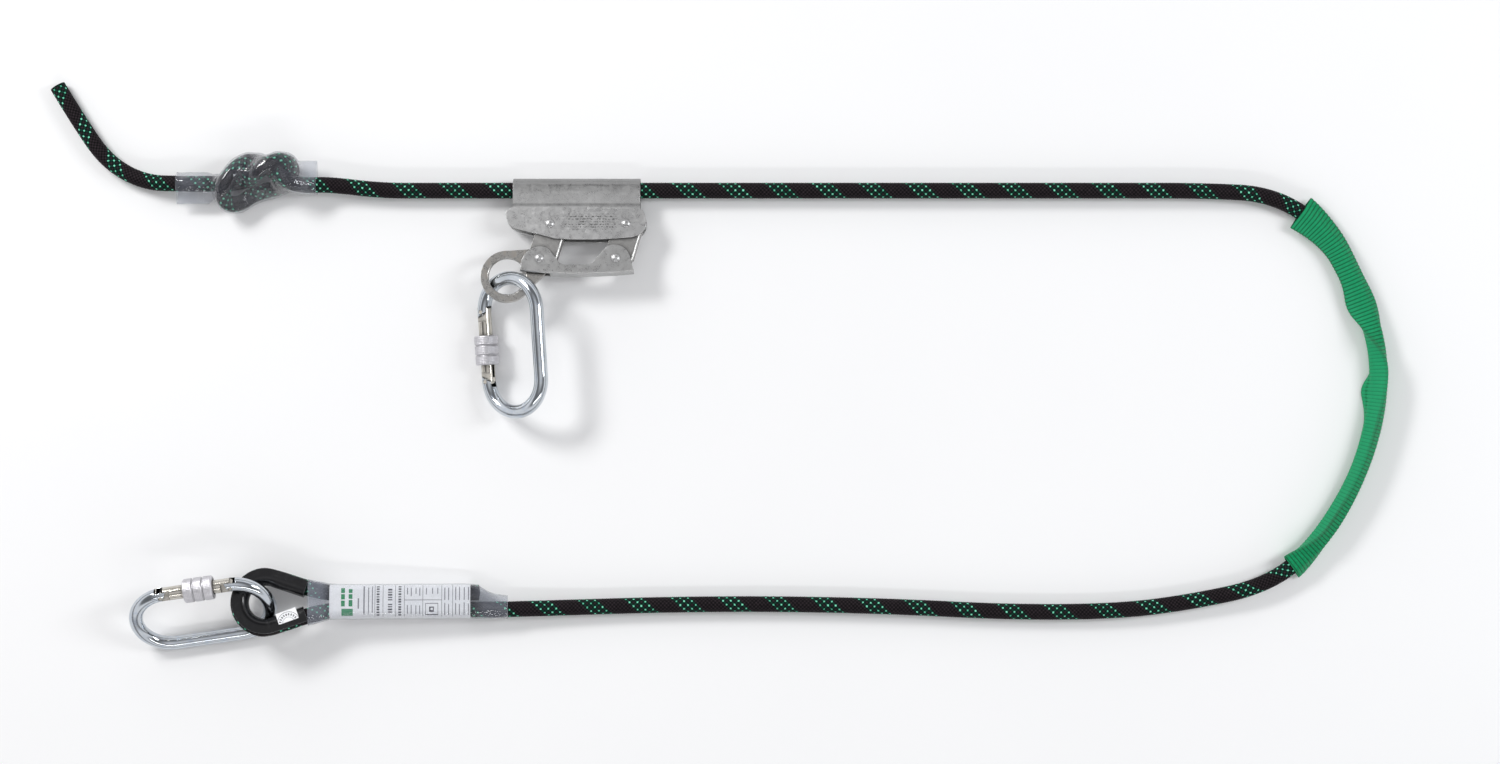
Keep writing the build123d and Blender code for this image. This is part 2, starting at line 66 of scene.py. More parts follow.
def add_area(name, at, aim, size, power, colour=(1, 1, 1)):
    data = bpy.data.lights.new(name, "AREA")
    data.shape = "RECTANGLE"
    data.size, data.size_y = size
    data.energy = power
    data.color = colour
    lamp = bpy.data.objects.new(name, data)
    lamp.location = at
    towards = Matrix.Translation(aim).translation - Matrix.Translation(at).translation
    lamp.rotation_euler = towards.to_track_quat("-Z", "Y").to_euler()
    scene.collection.objects.link(lamp)


def add_world():
    world = bpy.data.worlds.new("studio")
    scene.world = world
    world.use_nodes = True
    tree = world.node_tree
    tree.nodes.clear()
    coord = tree.nodes.new("ShaderNodeTexCoord")
    split = tree.nodes.new("ShaderNodeSeparateXYZ")
    ramp = tree.nodes.new("ShaderNodeValToRGB")
    back = tree.nodes.new("ShaderNodeBackground")
    out = tree.nodes.new("ShaderNodeOutputWorld")
    ramp.color_ramp.elements[0].position = WORLD_STOPS[0][0]
    ramp.color_ramp.elements[1].position = WORLD_STOPS[-1][0]
    for height, _ in WORLD_STOPS[1:-1]:
        ramp.color_ramp.elements.new(height)
    for element, (_, level) in zip(ramp.color_ramp.elements, WORLD_STOPS):
        element.color = (level, level, level * 1.02, 1)
    back.inputs["Strength"].default_value = WORLD_STRENGTH
    tree.links.new(coord.outputs["Generated"], split.inputs[0])
    tree.links.new(split.outputs["Z"], ramp.inputs[0])
    tree.links.new(ramp.outputs[0], back.inputs[0])
    tree.links.new(back.outputs[0], out.inputs[0])


add_camera()
add_world()
add_area("key", (-1.3, 1.3, 1.5), (0.25, 0.0, 0), (0.9, 0.45), 36.0)
add_area("fill", (1.8, 0.4, 1.4), (0.3, 0.0, 0), (0.4, 0.9), 14.0, (0.96, 0.98, 1.0))
add_area("front", (0.3, -1.3, 1.3), (0.3, 0.0, 0), (1.8, 0.12), 5.0)
scene.view_settings.view_transform = "Standard"


# -------------------------------------------------------------------- materials
class Shader:
    """A material with one Principled node, and short calls that add nodes to it."""

    def __init__(self, name, base, rough, metal=0.0, **values):
        self.mat = bpy.data.materials.new(name)
        self.mat.use_nodes = True
        self.tree = self.mat.node_tree
        self.bsdf = self.tree.nodes["Principled BSDF"]
        self.set(Base_Color=(*base, 1.0), Roughness=rough, Metallic=metal, **values)
        self.where = self.node("ShaderNodeTexCoord").outputs["Object"]

    def set(self, **values):
        for key, value in values.items():
            socket = self.bsdf.inputs[key.replace("_", " ")]
            if isinstance(value, bpy.types.NodeSocket):
                self.tree.links.new(value, socket)
            else:
                socket.default_value = value

    def node(self, kind, links=(), **values):
        made = self.tree.nodes.new(kind)
        for key, value in values.items():
            setattr(made, key, value)
        for key, value in links:
            if isinstance(value, bpy.types.NodeSocket):
                self.tree.links.new(value, made.inputs[key])
            else:
                made.inputs[key].default_value = value
        return made

    def noise(self, scale, detail=3.0, rough=0.55, stretch=None, distort=0.0):
        where = self.where
        if stretch:
            where = self.node("ShaderNodeMapping", [("Vector", where), ("Scale", stretch)]).outputs[0]
        return self.node("ShaderNodeTexNoise", [
            ("Vector", where), ("Scale", scale), ("Detail", detail),
            ("Roughness", rough), ("Distortion", distort)]).outputs["Fac"]

    def math(self, operation, a, b=0.0, clamp=False):
        return self.node("ShaderNodeMath", [(0, a), (1, b)], operation=operation,
                         use_clamp=clamp).outputs[0]

    def span(self, value, low, high, to_low=0.0, to_high=1.0):
        return self.node("ShaderNodeMapRange", [
            ("Value", value), ("From Min", low), ("From Max", high),
            ("To Min", to_low), ("To Max", to_high)]).outputs[0]

    def mix(self, fac, a, b):
        made = self.node("ShaderNodeMix", data_type="RGBA")
        for key, value in ((0, fac), (6, a), (7, b)):
            if isinstance(value, bpy.types.NodeSocket):
                self.tree.links.new(value, made.inputs[key])
            elif key == 0:
                made.inputs[0].default_value = value
            else:
                made.inputs[key].default_value = (*value, 1.0)
        return made.outputs[2]

    def bump(self, height, distance, strength=1.0, edge=0.0):
        """Bump on the shader's normal, over edges rounded by a small radius."""
        links = [("Height", height), ("Distance", distance), ("Strength", strength)]
        if edge:
            links.append(("Normal", self.rounded(edge)))
        self.set(Normal=self.node("ShaderNodeBump", links).outputs[0])

    def rounded(self, radius):
        return self.node("ShaderNodeBevel", [("Radius", radius)], samples=4).outputs[0]

    def edges(self, radius):
        """1 along sharp edges, 0 on flat faces."""
        flat = self.node("ShaderNodeNewGeometry").outputs["Normal"]
        dot = self.node("ShaderNodeVectorMath", [(0, self.rounded(radius)), (1, flat)],
                        operation="DOT_PRODUCT").outputs["Value"]
        return self.span(dot, 0.985, 0.80)

    def attribute(self, name):
        return self.node("ShaderNodeAttribute", attribute_name=name).outputs["Fac"]


def metal(name, base, rough, grain=0.35, tint=None, worn=0.5, edge=0.0005, marks=None):
    """Metal with fine tumbled grain, cloudy tone, dull and bright patches, worn edges, and painted
    shade that darkens its crevices and the lines where parts meet.
    marks(shader, colour) may add what one part has of its own, painted shade and highlights among it."""
    s = Shader(name, base, rough, 1.0)
    fine = s.noise(1500.0, 4.0, 0.65)
    cloud = s.noise(38.0, 4.0, 0.6)
    smear = s.noise(160.0, 3.0, 0.6, distort=1.2)
    dark = tuple(c * 0.87 for c in base)
    light = tuple(min(1.0, c * 1.14) for c in base)
    tone = s.math("ADD", s.math("MULTIPLY", fine, grain), s.math("MULTIPLY", cloud, 1.0 - grain))
    colour = s.mix(s.span(tone, 0.36, 0.64), dark, light)
    if tint:
        colour = s.mix(s.span(smear, 0.52, 0.72, 0.0, 0.55), colour, tint)
    brighter = tuple(min(1.0, c * 1.25 + 0.06) for c in base)
    colour = s.mix(s.math("MULTIPLY", s.edges(edge * 1.6), worn), colour, brighter)
    # painted shade: the colour goes almost black where ambient occlusion finds crevices and contact
    # lines
    painted_shade_ao = s.node("ShaderNodeAmbientOcclusion", [("Distance", 0.0035)], samples=4)
    deep = tuple(c * 0.16 for c in base)
    colour = s.mix(s.span(painted_shade_ao.outputs["AO"], 0.35, 0.95), deep, colour)
    if marks:
        colour = marks(s, colour)
    s.set(Base_Color=colour)
    s.set(Roughness=s.span(s.math("ADD", fine, smear), 0.75, 1.25, rough * 0.75, rough * 1.35))
    s.bump(s.math("ADD", fine, s.math("MULTIPLY", smear, 0.3)), 0.00005, 0.22 * grain, edge)
    return s.mat


def paint(node, mat):
    """A CAD node keeps its mesh and takes this material."""
    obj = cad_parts[node]
    for item in obj.material_slots:
        item.material = mat
    if not obj.material_slots:
        obj.data.materials.append(mat)


# ---------------------------------------------------------------- mesh building
def mesh_object(name, verts, faces, mats, smooth=True):
    mesh = bpy.data.meshes.new(name)
    mesh.from_pydata(np.asarray(verts, float).tolist(), [], faces)
    for mat in mats:
        mesh.materials.append(mat)
    mesh.polygons.foreach_set("use_smooth", [smooth] * len(mesh.polygons))
    mesh.update()
    obj = bpy.data.objects.new(name, mesh)
    scene.collection.objects.link(obj)
    return obj


def ring_faces(rows, count, first=0, flip=False):
    """Quads between closed rings of count points."""
    faces = []
    for r in range(rows - 1):
        a, b = first + r * count, first + (r + 1) * count
        for k in range(count):
            n = (k + 1) % count
            quad = (a + k, a + n, b + n, b + k)
            faces.append(quad[::-1] if flip else quad)
    return faces


def shell(name, rings, inner, mats):
    """A thin closed wall: outer rings, inner rings of the same size, and two rims."""
    rows, count = rings.shape[:2]
    verts = np.concatenate([rings.reshape(-1, 3), inner.reshape(-1, 3)])
    base = rows * count
    faces = ring_faces(rows, count) + ring_faces(rows, count, base, True)
    for row, flip in ((0, True), (rows - 1, False)):
        for k in range(count):
            n = (k + 1) % count
            a = row * count
            quad = (a + k, a + n, base + a + n, base + a + k)
            faces.append(quad[::-1] if flip else quad)
    return mesh_object(name, verts, faces, mats)


def place(obj, matrix):
    obj.data.transform(matrix)
    return obj


def frame_of(x, y, z, *turns):
    """Translation in millimetres, then turns such as ("X", -11.5)."""
    made = Matrix.Translation((x * MM, y * MM, z * MM))
    for axis, angle in turns:
        made = made @ Matrix.Rotation(radians(angle), 4, axis)
    return made


GRAB_FRAME = frame_of(140.8, 167.0, 8.05, ("X", -11.5))
EYE_FRAME = frame_of(-90.0, -139.6, 20.5, ("Y", 4.0), ("X", -12.0))
BOW_R, LEG_HALF, WIRE_R = 24.75, 25.0, 5.1
SLEEVE_OUT, SLEEVE_IN, SLEEVE_L, SLEEVE_AT = 9.0, 5.4, 22.0, -2.5
GRAB_LEAN, EYE_LEAN = 34.0, 39.0        # degrees between a carabiner and the table
TABLE_GAP = 0.05                        # what lies on the table keeps this far from it
GRAB_CARABINER = frame_of(90.5, 101.2, SLEEVE_OUT + TABLE_GAP + BOW_R * sin(radians(GRAB_LEAN)),
                          ("Z", 3.8), ("Y", -GRAB_LEAN)) @ frame_of(0, -(LEG_HALF + BOW_R), 0)
EYE_CARABINER = frame_of(-87.0, -141.0, WIRE_R + TABLE_GAP + BOW_R * sin(radians(EYE_LEAN)),
                         ("Z", 98.3), ("Y", 180.0 - EYE_LEAN)) @ frame_of(0, LEG_HALF + BOW_R, 0)


# ------------------------------------------------------------------------- rope
ROPE_R = 6.0
REST_Z = 6.05                   # the rope's line where it lies on the table
EYE_R = 19.9                    # the rope's line round the thimble
STRAND_Y = 6.3                  # half the distance between the eye's two strands
EYE_LEG = 43.0                  # from the thimble's middle to where the strands meet
EXIT = EYE_FRAME @ Matrix.Translation((179.4 * MM, -STRAND_Y * MM, 0))
EXIT_POINT = tuple(c / MM for c in EXIT.translation)

LOWER_RUN = [(136, -144.6, 6.2), (208, -142.4, REST_Z), (292, -141.9, REST_Z),
             (378, -143.8, REST_Z), (466, -148.2, REST_Z), (545, -147.5, REST_Z),
             (600, -140.5, REST_Z)]
BEND = [(657, -128, 7.7), (694, -98, 7.7), (724, -49, 7.7), (739.5, 4, 7.7),
        (740, 52, 7.7), (722, 98, 7.7), (703, 136, 7.7), (662, 164.5, 7.7)]
GRAB_RUN = [(606, 167, 8.05), (550, 167, 8.05), (32, 167, 8.05), (-6, 167, 8.05),
            (-44, 171.5, 10)]
KNOT = [(-60, 170.5, 13), (-69, 171.5, 20.5), (-77, 175, 22.5), (-84, 180, 16),
        (-90, 185, 8.5), (-97, 188.5, 8), (-106, 188.5, 13.5), (-114, 181, 21.5),
        (-119.5, 172, 23), (-123, 163.5, 19.5), (-119.5, 156.5, 12.5), (-111, 157, 8),
        (-102, 164, 6.7), (-92, 167, 6.6), (-83, 169, 6.7), (-76, 173.5, 6.7),
        (-71.5, 180, 8.5), (-73, 187.5, 16), (-81, 189, 23), (-90, 184, 23.5),
        (-97.5, 178.5, 21.5), (-105, 174.5, 12.5), (-113, 173, 6.8), (-122, 172.5, 6.9)]
TAIL = [(-133.5, 172, 10), (-153, 172, 10), (-183, 173, 7), (-211, 188.5, REST_Z),
        (-232, 219, REST_Z), (-247.8, 245.2, REST_Z)]

STRANDS = 12                    # braid strands each way
PITCH = 34.8                    # one turn of a strand
BRAID_LOW = 0.42                # depth of the corners of the braid
DOT_STRANDS = (8, 10, 0)        # strands that carry the green dots
DOT_BAND = (8, 9, 10, 11, 0)    # strands of the dark green band round them


def spline_points(points, resolution):
    """Points of a smooth NURBS line with these control points, in millimetres."""
    curve = bpy.data.curves.new("line", "CURVE")
    curve.dimensions = "3D"
    curve.resolution_u = resolution
    spline = curve.splines.new("NURBS")
    spline.points.add(len(points) - 1)
    for spot, (x, y, z) in zip(spline.points, points):
        spot.co = (x * MM, y * MM, z * MM, 1.0)
    spline.order_u = 3
    spline.use_endpoint_u = True
    holder = bpy.data.objects.new("line", curve)
    mesh = bpy.data.meshes.new_from_object(holder)
    line = np.array([v.co for v in mesh.vertices]) / MM
    bpy.data.objects.remove(holder)
    bpy.data.curves.remove(curve)
    bpy.data.meshes.remove(mesh)
    return line


def lengths(line):
    return np.concatenate([[0], np.cumsum(np.linalg.norm(np.diff(line, axis=0), axis=1))])


def at_distances(line, where):
    s = lengths(line)
    return np.stack([np.interp(where, s, line[:, k]) for k in range(3)], 1)


def carried_frames(line):
    """Tangent, up and side along a line, turned as little as possible."""
    tangent = np.gradient(line, axis=0)
    tangent /= np.linalg.norm(tangent, axis=1)[:, None]
    ups = np.zeros_like(line)
    up = np.array([0.0, 0.0, 1.0])
    for k, t in enumerate(tangent):
        up = up - t * up.dot(t)
        up /= np.linalg.norm(up)
        ups[k] = up
    return tangent, ups, np.cross(ups, tangent)


def braid(name, line, mats):
    """Braided rope: a mesh laid on the lattice of its strands, a raised middle in each
    crossing, and the crossings' colours as a face value."""
    total = lengths(line)[-1]
    fine = 4 * STRANDS
    rows = int(round(total / (PITCH / fine)))
    spots = at_distances(line, np.linspace(0, total, rows + 1))
    tangent, up, side = carried_frames(spots)
    half = fine // 2
    m = np.arange(rows + 1)[:, None]
    n = 2 * np.arange(half)[None, :] + (m % 2)
    odd_u = ((m + n) // 2) % 2
    odd_v = ((m - n) // 2) % 2
    radius = ROPE_R - BRAID_LOW * (1 - 0.5 * (odd_u + odd_v))
    angle = 2 * pi * n / fine
    ring = (up[:, None] * np.cos(angle)[..., None] + side[:, None] * np.sin(angle)[..., None])
    verts = spots[:, None] + ring * radius[..., None]
    faces, cell = [], []
    for row in range(rows - 1):
        odd = row % 2
        for k in range(half):
            here = 2 * k + odd
            right = ((here + 1) // 2) % half
            left = ((here - 1) // 2) % half
            faces.append((row * half + k, (row + 1) * half + right,
                          (row + 2) * half + k, (row + 1) * half + left))
            cell.append(((row + here) // 2 // 2, (row - here) // 2 // 2))
    for k in range(half):
        faces.append((k, (k + 1) % half, half + k))
        here = 2 * k + (rows - 1) % 2
        faces.append(((rows - 1) * half + k, rows * half + ((here + 1) // 2) % half,
                      rows * half + ((here - 1) // 2) % half))
        cell += [(1, 1), (1, 1)]
    verts = verts.reshape(-1, 3)
    for row, flip in ((0, False), (rows, True)):
        centre = len(verts)
        verts = np.vstack([verts, spots[row] + tangent[row] * (0.8 if flip else -0.2)])
        for k in range(half):
            pair = (row * half + k, row * half + (k + 1) % half, centre)
            faces.append(pair if flip else pair[::-1])
            cell.append((1, 1))
    obj = mesh_object(name, verts * MM, [face[::-1] for face in faces], mats)
    cell = np.array(cell)
    i, j = cell[:, 0] % STRANDS, cell[:, 1] % STRANDS
    front = (i + j) % 2 == 0
    dot = np.where(front & np.isin(i, DOT_STRANDS), 1.0, 0.0)
    dot = np.where(~front & np.isin(i, DOT_BAND), 0.35, dot)
    obj.data.attributes.new("dot", "FLOAT", "FACE").data.foreach_set("value", dot)
    # how high each point stands in its crossing; the rope's material paints shade and light from it
    crown = np.append(np.ravel(0.5 * (odd_u + odd_v)), [0.5, 0.5])
    obj.data.attributes.new("crown", "FLOAT", "POINT").data.foreach_set("value", crown)
    return obj


def rope_material():
    s = Shader("rope_braid", (0.012, 0.010, 0.013), 0.66, Specular_IOR_Level=0.09,
               Sheen_Weight=0.01, Sheen_Roughness=0.5)
    dot, crown = s.attribute("dot"), s.attribute("crown")
    mottle = s.noise(620.0, 3.0, 0.6)
    fibre = s.noise(2600.0, 2.0, 0.5)
    # painted shade and light: the black and the dark green band are painted darker in the hollows
    # between crossings and lighter on the crowns, with random mottle
    lift = s.math("ADD", s.math("MULTIPLY", crown, 0.75), s.math("MULTIPLY", mottle, 0.5))
    black = s.mix(s.span(lift, 0.45, 1.05), (0.0006, 0.0005, 0.0008), (0.034, 0.025, 0.030))
    green = s.mix(s.span(mottle, 0.35, 0.6), (0.04, 0.40, 0.22), (0.22, 0.74, 0.50))
    deep = s.mix(s.span(lift, 0.45, 1.05), (0.001, 0.008, 0.006), (0.003, 0.045, 0.028))
    colour = s.mix(s.span(dot, 0.1, 0.3), black, deep)
    ragged = s.math("ADD", crown, s.math("MULTIPLY", s.math("SUBTRACT", mottle, 0.5), 0.7))
    spot = s.math("MULTIPLY", s.span(dot, 0.6, 0.9), s.span(ragged, 0.52, 0.70))
    colour = s.mix(spot, colour, green)
    s.set(Base_Color=colour, Roughness=s.span(fibre, 0.3, 0.7, 0.55, 0.78))
    s.bump(fibre, 0.00012, 0.6)
    return s.mat


rope_mat = rope_material()

route = [EXIT_POINT] + LOWER_RUN + BEND + GRAB_RUN + KNOT + TAIL
lanyard_line = spline_points(route, 24)
lanyard_length = lengths(lanyard_line)[-1]
rope = braid("lanyard_rope", lanyard_line, [rope_mat])
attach(rope, "lanyard")
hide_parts("rope_main", "stop_knot", "rope_tail")


def eye_line():
    """The sewn eye: strand, leg, round the thimble, leg, short strand."""
    d = hypot(EYE_LEG, STRAND_Y)
    touch = degrees(atan2(STRAND_Y, EYE_LEG) + acos(EYE_R / d))
    steps = 9
    sweep = (360 - 2 * touch) / steps
    out = EYE_R / cos(radians(sweep / 2))
    arc = [(out * cos(radians(a)), out * sin(radians(a)), 0)
           for a in (-touch - sweep * (k + 0.5) for k in range(steps))]
    first = [(178.9, -STRAND_Y, 0), (150, -STRAND_Y, 0), (70, -STRAND_Y, 0), (42.5, -STRAND_Y, 0)]
    last = [(42.5, STRAND_Y, 0), (70, STRAND_Y, 0), (120, STRAND_Y, 0), (158, STRAND_Y, 0)]
    return spline_points(first + arc + last, 24)


eye = place(braid("rope_eye_strands", eye_line(), [rope_mat]), EYE_FRAME)
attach(eye, "lanyard")
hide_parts("rope_eye")


# ------------------------------------------------------------------- clear film
def film_material():
    """Thin clear film: mostly see-through, a little haze, and a sharp shine."""
    s = Shader("clear_film", (0.52, 0.57, 0.68), 0.35)
    haze = s.noise(55.0, 3.0, 0.6)
    ripple = s.node("ShaderNodeBump", [
        ("Height", s.noise(120.0, 3.0, 0.6, (0.35, 1.0, 1.0), 0.8)),
        ("Distance", 0.0012), ("Strength", 0.8)]).outputs[0]
    clear = s.node("ShaderNodeBsdfTransparent",
                   [("Color", (0.955, 0.958, 0.965, 1.0))]).outputs[0]
    cloudy = s.math("ADD", s.span(haze, 0.3, 0.7, 0.008, 0.05), s.attribute("milky"))
    body = s.node("ShaderNodeMixShader", [(0, cloudy),
                                          (1, clear), (2, s.bsdf.outputs[0])]).outputs[0]
    gloss = s.node("ShaderNodeBsdfGlossy", [("Roughness", 0.07), ("Normal", ripple)]).outputs[0]
    facing = s.node("ShaderNodeLayerWeight", [("Blend", 0.5), ("Normal", ripple)]).outputs["Facing"]
    shine = s.span(s.math("POWER", facing, 2.5), 0.0, 1.0, 0.03, 0.65)
    both = s.node("ShaderNodeMixShader", [(0, shine), (1, body), (2, gloss)]).outputs[0]
    s.tree.links.new(both, s.tree.nodes["Material Output"].inputs[0])
    return s.mat


film_mat = film_material()


def hull_ring(blobs, count, grow):
    """Outline of a film shrunk round discs (y, z, r): points at equal distances from the
    middle of its bottom."""
    steps = 360
    phi = np.arange(steps) * 2 * pi / steps - pi / 2
    reach = np.max([y * np.cos(phi) + z * np.sin(phi) + r for y, z, r in blobs], axis=0) + grow
    kernel = np.array([1, 3, 6, 7, 6, 3, 1], float)
    kernel /= kernel.sum()
    reach = sum(w * np.roll(reach, k - 3) for k, w in enumerate(kernel))
    slope = (np.roll(reach, -1) - np.roll(reach, 1)) / (2 * (phi[1] - phi[0]))
    y = reach * np.cos(phi) - slope * np.sin(phi)
    z = reach * np.sin(phi) + slope * np.cos(phi)
    loop = np.stack([np.append(y, y[0]), np.append(z, z[0])], 1)
    s = np.concatenate([[0], np.cumsum(np.linalg.norm(np.diff(loop, axis=0), axis=1))])
    fine = np.linspace(0, s[-1], 720, False)
    fine_y, fine_z = np.interp(fine, s, loop[:, 0]), np.interp(fine, s, loop[:, 1])
    middle = (fine_y.min() + fine_y.max()) / 2
    start = fine[np.where(fine_z < fine_z.mean(), np.abs(fine_y - middle), 1e9).argmin()]
    where = (start + np.linspace(0, s[-1], count, False)) % s[-1]
    return np.stack([np.interp(where, s, loop[:, 0]), np.interp(where, s, loop[:, 1])], 1)


def smooth_rows(rings, passes):
    for _ in range(passes):
        rings[1:-1] = (rings[:-2] + 2 * rings[1:-1] + rings[2:]) / 4
    return rings


def swollen(rings, by):
    """Each point moved away from its ring's centre."""
    away = rings - rings.mean(axis=1, keepdims=True)
    away /= np.linalg.norm(away, axis=2, keepdims=True)
    return rings + away * by[..., None]


def inset(rings, wall):
    """The inner face of a wall: each ring drawn in along its own normals."""
    ahead = np.roll(rings, -1, axis=1) - np.roll(rings, 1, axis=1)
    along = np.gradient(rings, axis=0)
    normal = np.cross(along, ahead)
    normal /= np.maximum(np.linalg.norm(normal, axis=2, keepdims=True), 1e-9)
    centre = rings.mean(axis=1, keepdims=True)
    facing = np.sign(((rings - centre) * normal).sum(axis=(1, 2)))[:, None, None]
    return rings - normal * facing * wall


FILM_WALL = 0.35
FIN_EDGE = 0.7                  # radius of the folds at a flat end's two edges
# edges of the knot film's two flat ends: Y from the middle, and Z
LEFT_FIN_Y, LEFT_FIN = 172.0, ((-14.5, 9.2), (8.0, 9.8))
RIGHT_FIN_Y, RIGHT_FIN = 171.5, ((17.0, 11.0), (-6.5, 9.0))


def film_shell(name, rings, milky):
    """The film as a thin wall, with how cloudy each row is as a point value."""
    obj = shell(name, rings * MM, inset(rings, FILM_WALL) * MM, [film_mat])
    rows = np.tile(np.repeat(milky, rings.shape[1]), 2)
    obj.data.attributes.new("milky", "FLOAT", "POINT").data.foreach_set("value", rows)
    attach(obj, "lanyard")
    return obj


def knot_film():
    """Clear tube shrunk over the stop knot, its ends left as flat fins."""
    count = 72
    xs = np.arange(-158.0, -52.4, 1.0)
    line = at_distances(lanyard_line, np.arange(lanyard_length - 480, lanyard_length - 30, 1.2))
    rings = []
    room = ROPE_R + 1.3             # the film is smoothed after this, and keeps clear
    for x in xs:
        near = line[np.abs(line[:, 0] - x) < room]
        blobs = [(y, z, max(0.5, (room ** 2 - (px - x) ** 2) ** 0.5)) for px, y, z in near]
        left = min(1.0, max(0.0, (-124.0 - x) / 9))
        right = min(1.0, max(0.0, (x + 78.0) / 9))
        if left > 0:
            blobs += [(LEFT_FIN_Y + dy * left, z, FIN_EDGE) for dy, z in LEFT_FIN]
        if right > 0:
            blobs += [(RIGHT_FIN_Y + dy * right, z, FIN_EDGE) for dy, z in RIGHT_FIN]
        ring = hull_ring(blobs, count, 0.0)
        rings.append(np.column_stack([np.full(len(ring), x), ring]))
    rings = smooth_rows(np.array(rings), 4)
    rows = np.arange(len(rings))[:, None]
    cols = np.arange(count)[None, :] * 2 * pi / count
    wave = 0.22 * np.sin(rows * 0.45 + 3 * np.sin(cols * 2)) * np.sin(cols * 3 + rows * 0.11)
    rings = swollen(rings, wave)
    rings[..., 2] = np.maximum(rings[..., 2], 0.12)
    fins = np.clip((-130 - xs) / 10, 0, 1) + np.clip((xs + 68) / 8, 0, 1)
    obj = film_shell("knot_film", rings, 0.035 * fins)
    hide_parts("knot_tube")
    return obj


film = knot_film()


def stadium(y_mid, width, height, count):
    """Closed outline in the Y-Z plane from the middle of the bottom."""
    r = height / 2
    flat = max(width - height, 0.01) / 2
    blobs = [(y_mid - flat, 0, r - 0.01), (y_mid + flat, 0, r - 0.01)]
    return hull_ring(blobs, count, 0.01)


def eye_film():
    """Clear sleeve shrunk over the two strands, the label and the short end."""
    # along the eye's axis: X, middle in Y, width and height
    stations = [(31.5, 0, 34.6, 16.0), (34.0, 0, 33.6, 15.8), (40.0, 0, 30.5, 15.6),
                (47.0, 0, 27.4, 14.6), (54.0, 0, 26.4, 13.9), (152.0, 0, 26.4, 13.9),
                (156.0, -0.2, 26.0, 13.8), (160.0, -1.2, 23.6, 13.7), (164.5, -2.9, 20.2, 13.6),
                (170.0, -4.0, 18.0, 13.5), (180.0, -4.6, 17.2, 13.4)]
    count = 84
    xs = np.arange(31.5, 180.1, 1.0)
    table = np.array(stations)
    mid, width, height = (np.interp(xs, table[:, 0], table[:, k]) for k in (1, 2, 3))
    rings = np.array([np.column_stack([np.full(count, x), stadium(m, w, h, count)])
                      for x, m, w, h in zip(xs, mid, width, height)])
    rings = smooth_rows(rings, 3)
    cols = np.arange(count)[None, :] * 2 * pi / count
    loose = (np.exp(-((xs - 38) / 9) ** 2) + np.exp(-((xs - 166) / 9) ** 2))[:, None]
    fold = 0.55 * np.sin(5 * cols + 0.10 * xs[:, None]) * loose
    fold = fold + 0.10 * np.sin(7 * cols) * np.sin(0.21 * xs[:, None])
    rings = swollen(rings, fold)
    mouths = 0.11 * np.clip((49 - xs) / 8, 0, 1) + 0.06 * np.clip((xs - 154) / 8, 0, 1)
    obj = film_shell("eye_film", rings, mouths)
    place(obj, EYE_FRAME)
    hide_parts("clear_sleeve")


eye_film()


# ------------------------------------------------------------------------ label
def label_marks():
    """Plain marks for the printed label: (x0, x1, y0, y1, ink), from its left end and
    its lower edge. No letters: bars stand for the lines of print."""
    marks = [(9, 17.5, 1.2, 6.2, 0.5)]
    marks += [(8.6, 11.4, 8.0, 12.2, 0.5), (8.6, 11.4, 13.0, 17.0, 0.5),
              (8.6, 11.4, 18.0, 21.5, 0.5), (14.2, 17.2, 8.0, 12.5, 0.5),
              (14.2, 17.2, 13.3, 17.0, 0.5), (14.2, 17.2, 18.0, 21.0, 0.5)]
    for x, y0, y1 in ((21.0, 6, 14), (25.2, 2, 23), (28.6, 2, 22), (31.4, 3, 23)):
        marks.append((x, x + 0.9, y0, y1, 0.3))
    for x, y0, y1, w in ((35.0, 1, 23, 2.0), (43.5, 3, 9, 3.0), (43.5, 12, 21, 3.0),
                         (51.0, 1, 23, 2.2)):
        marks += [(x, x + w, y, y + 1.1, 0.85) for y in np.arange(y0, y1, 1.9)]
    marks += [(x, x + 0.35, 0.5, 24, 0.55) for x in (33.6, 39.6, 48.6, 55.2, 82.8, 91.0)]
    marks += [(55.2, 82.8, 12.2, 12.6, 0.55), (69.0, 69.4, 0.5, 24, 0.55)]
    for x in (57.4, 60.2, 63.8, 66.6, 71.5, 75.8, 79.8):
        marks.append((x, x + 0.7, 15.0 + (x % 2), 21.5, 0.3))
    for x in (57.4, 60.2, 63.8, 66.6):
        marks.append((x, x + 0.7, 2.0, 9.0 - (x % 3), 0.3))
    marks += [(71.0, 71.5, 1.5, 10.0, 0.9), (80.0, 80.5, 1.5, 10.0, 0.9),
              (71.0, 80.5, 1.5, 2.0, 0.9), (71.0, 80.5, 9.5, 10.0, 0.9),
              (74.0, 77.5, 3.6, 7.6, 0.9), (75.0, 76.5, 4.6, 6.6, 0.0)]
    for x in (85.0, 88.0, 93.0, 96.0, 99.5, 102.5):
        marks += [(x, x + 0.7, 1.5, 9.0 + (x % 2), 0.35), (x, x + 0.7, 12.0, 22.5 - (x % 3), 0.35)]
    return marks


def label():
    x0, x1, low_edge = 47.4, 152.0, -12.2
    step, count = 0.35, 150
    xs = np.arange(x0, x1, step)
    ring = stadium(0, 2 * (STRAND_Y + 6.4), 12.8, count)
    rings = np.array([np.column_stack([np.full(count, x), ring]) for x in xs])
    obj = shell("printed_label", rings * MM, inset(rings, 0.2) * MM, [label_mat])
    ink = np.zeros(len(obj.data.polygons))
    centres = np.array([p.center for p in obj.data.polygons]) / MM
    top = centres[:, 2] > 0
    along, across = centres[:, 0] - x0, centres[:, 1] - low_edge
    for a, b, c, d, tone in label_marks():
        ink[top & (along > a) & (along < b) & (across > c) & (across < d)] = tone
    obj.data.attributes.new("ink", "FLOAT", "FACE").data.foreach_set("value", ink)
    place(obj, EYE_FRAME)
    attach(obj, "lanyard")
    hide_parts("label")


